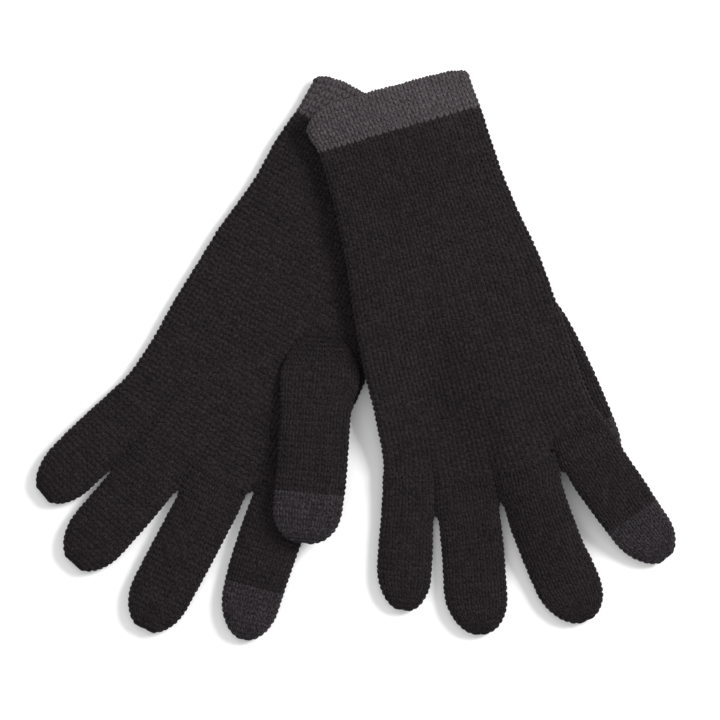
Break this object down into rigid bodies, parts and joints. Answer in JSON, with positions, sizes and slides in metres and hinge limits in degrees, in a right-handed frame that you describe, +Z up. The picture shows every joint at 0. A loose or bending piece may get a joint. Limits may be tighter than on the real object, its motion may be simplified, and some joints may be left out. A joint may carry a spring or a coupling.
{
  "type": "pair of touchscreen gloves",
  "caption": "Pair of knitted gloves lying flat and crossed, with contrast cuff bands and conductive tips on thumbs and index fingers.",
  "frame": {"origin": "on the table, under the middle of the pair's bounding box", "axes": "+Z up from the table, -Y from the cuffs towards the fingertips, +X towards the thumb sides"},
  "size_m": [0.269, 0.239, 0.0212],
  "materials": {
    "black_yarn": "charcoal black plain knit",
    "band_yarn": "mid grey plain knit",
    "touch_yarn": "dark grey conductive knit"
  },
  "bodies": {
    "left_hand": {"left_cuff_band": "band_yarn", "left_wrist": "black_yarn", "left_palm": "black_yarn"},
    "left_little": {"left_little_finger": "black_yarn"},
    "left_ring": {"left_ring_finger": "black_yarn"},
    "left_middle": {"left_middle_finger": "black_yarn"},
    "left_index": {"left_index_finger": "black_yarn", "left_index_touch_tip": "touch_yarn"},
    "left_thumb": {"left_thumb": "black_yarn", "left_thumb_touch_tip": "touch_yarn"},
    "right_hand": {"right_cuff_band": "band_yarn", "right_wrist": "black_yarn", "right_palm": "black_yarn"},
    "right_little": {"right_little_finger": "black_yarn"},
    "right_ring": {"right_ring_finger": "black_yarn"},
    "right_middle": {"right_middle_finger": "black_yarn"},
    "right_index": {"right_index_finger": "black_yarn", "right_index_touch_tip": "touch_yarn"},
    "right_thumb": {"right_thumb": "black_yarn", "right_thumb_touch_tip": "touch_yarn"}
  },
  "joints": [
    {"name": "right_glove_lift", "type": "slide", "parent": "left_hand", "child": "right_hand", "axis": [0, 0, 1], "range_m": [0, 0.08]},
    {"name": "left_little_fold", "type": "hinge", "parent": "left_hand", "child": "left_little", "pos_m": [-0.09461, -0.02002, 0.0101], "axis": [-0.766, 0.6428, 0], "range_deg": [0, 90]},
    {"name": "left_ring_fold", "type": "hinge", "parent": "left_hand", "child": "left_ring", "pos_m": [-0.07833, -0.03727, 0.0101], "axis": [-0.8241, 0.5664, 0], "range_deg": [0, 90]},
    {"name": "left_middle_fold", "type": "hinge", "parent": "left_hand", "child": "left_middle", "pos_m": [-0.05606, -0.05133, 0.0101], "axis": [-0.8788, 0.4772, 0], "range_deg": [0, 90]},
    {"name": "left_index_spread", "type": "hinge", "parent": "left_hand", "child": "left_index", "pos_m": [-0.01564, -0.06063, 0.005], "axis": [0, 0, 1], "range_deg": [0, 12]},
    {"name": "left_thumb_raise", "type": "hinge", "parent": "left_hand", "child": "left_thumb", "pos_m": [-0.01683, 0.00988, 0.0104], "axis": [-0.999, 0.0436, 0], "range_deg": [0, 80]},
    {"name": "right_little_fold", "type": "hinge", "parent": "right_hand", "child": "right_little", "pos_m": [0.02083, -0.05117, 0.01068], "axis": [-0.9971, -0.0767, 0], "range_deg": [0, 90]},
    {"name": "right_ring_fold", "type": "hinge", "parent": "right_hand", "child": "right_ring", "pos_m": [0.04454, -0.0517, 0.01251], "axis": [-0.982, -0.1891, 0], "range_deg": [0, 90]},
    {"name": "right_middle_fold", "type": "hinge", "parent": "right_hand", "child": "right_middle", "pos_m": [0.07019, -0.04571, 0.021], "axis": [-0.9489, -0.3156, 0], "range_deg": [0, 90]},
    {"name": "right_index_fold", "type": "hinge", "parent": "right_hand", "child": "right_index", "pos_m": [0.09312, -0.02906, 0.0213], "axis": [-0.8878, -0.4602, 0], "range_deg": [0, 90]},
    {"name": "right_thumb_swing", "type": "hinge", "parent": "right_hand", "child": "right_thumb", "pos_m": [0.07261, 0.01526, 0.005], "axis": [0, 0, 1], "range_deg": [0, 45]}
  ]
}
